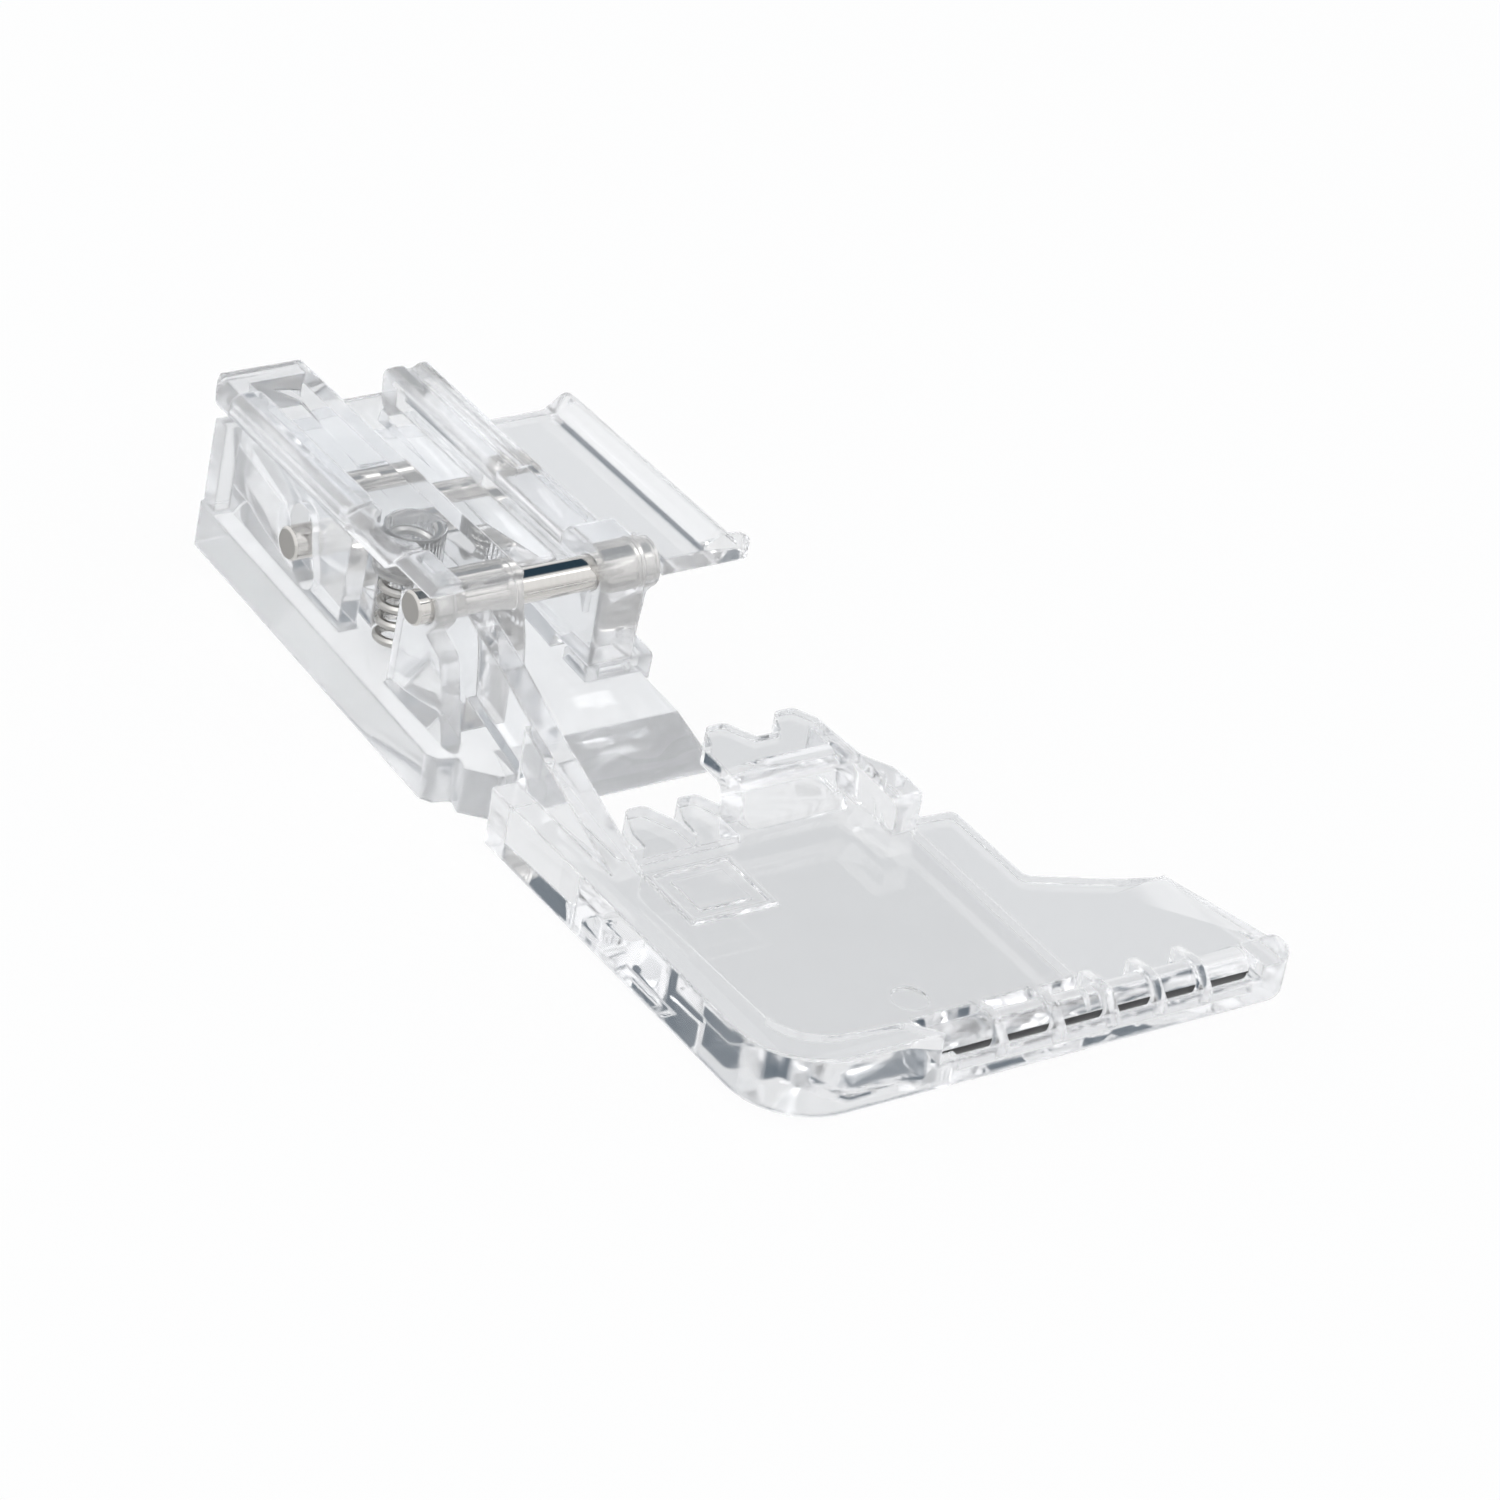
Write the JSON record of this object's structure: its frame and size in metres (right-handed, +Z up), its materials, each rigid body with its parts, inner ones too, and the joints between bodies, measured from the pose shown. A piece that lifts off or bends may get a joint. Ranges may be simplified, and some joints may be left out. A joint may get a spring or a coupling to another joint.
{
  "type": "sewing machine presser foot",
  "caption": "Clear overlock presser foot with a sprung, hinged rear sole, needle-opening fingers, a front guide with ribs and a side finger tab.",
  "frame": {"origin": "under the middle of the foot, on the surface it stands on", "axes": "+X to the sewer's right, -Y to the toe (towards the sewer), +Z up, sole down"},
  "size_m": [0.0286, 0.0502, 0.0102],
  "materials": {
    "clear_body": "clear moulded plastic, polished",
    "steel_pin": "polished",
    "spring_steel": "drawn wire"
  },
  "bodies": {
    "foot": {"foot_body": "clear_body", "clip_pin": "steel_pin", "stop_pin": "steel_pin", "pressure_spring": "spring_steel"},
    "sole": {"heel_sole": "clear_body"}
  },
  "joints": [
    {"name": "sole_tilt", "type": "hinge", "parent": "foot", "child": "sole", "pos_m": [-0.00779, 0.006, 0.00836], "axis": [1, 0, 0], "range_deg": [-4, 1.2], "stiffness_Nm_per_rad": 0.02, "deforming": ["pressure_spring"]}
  ]
}
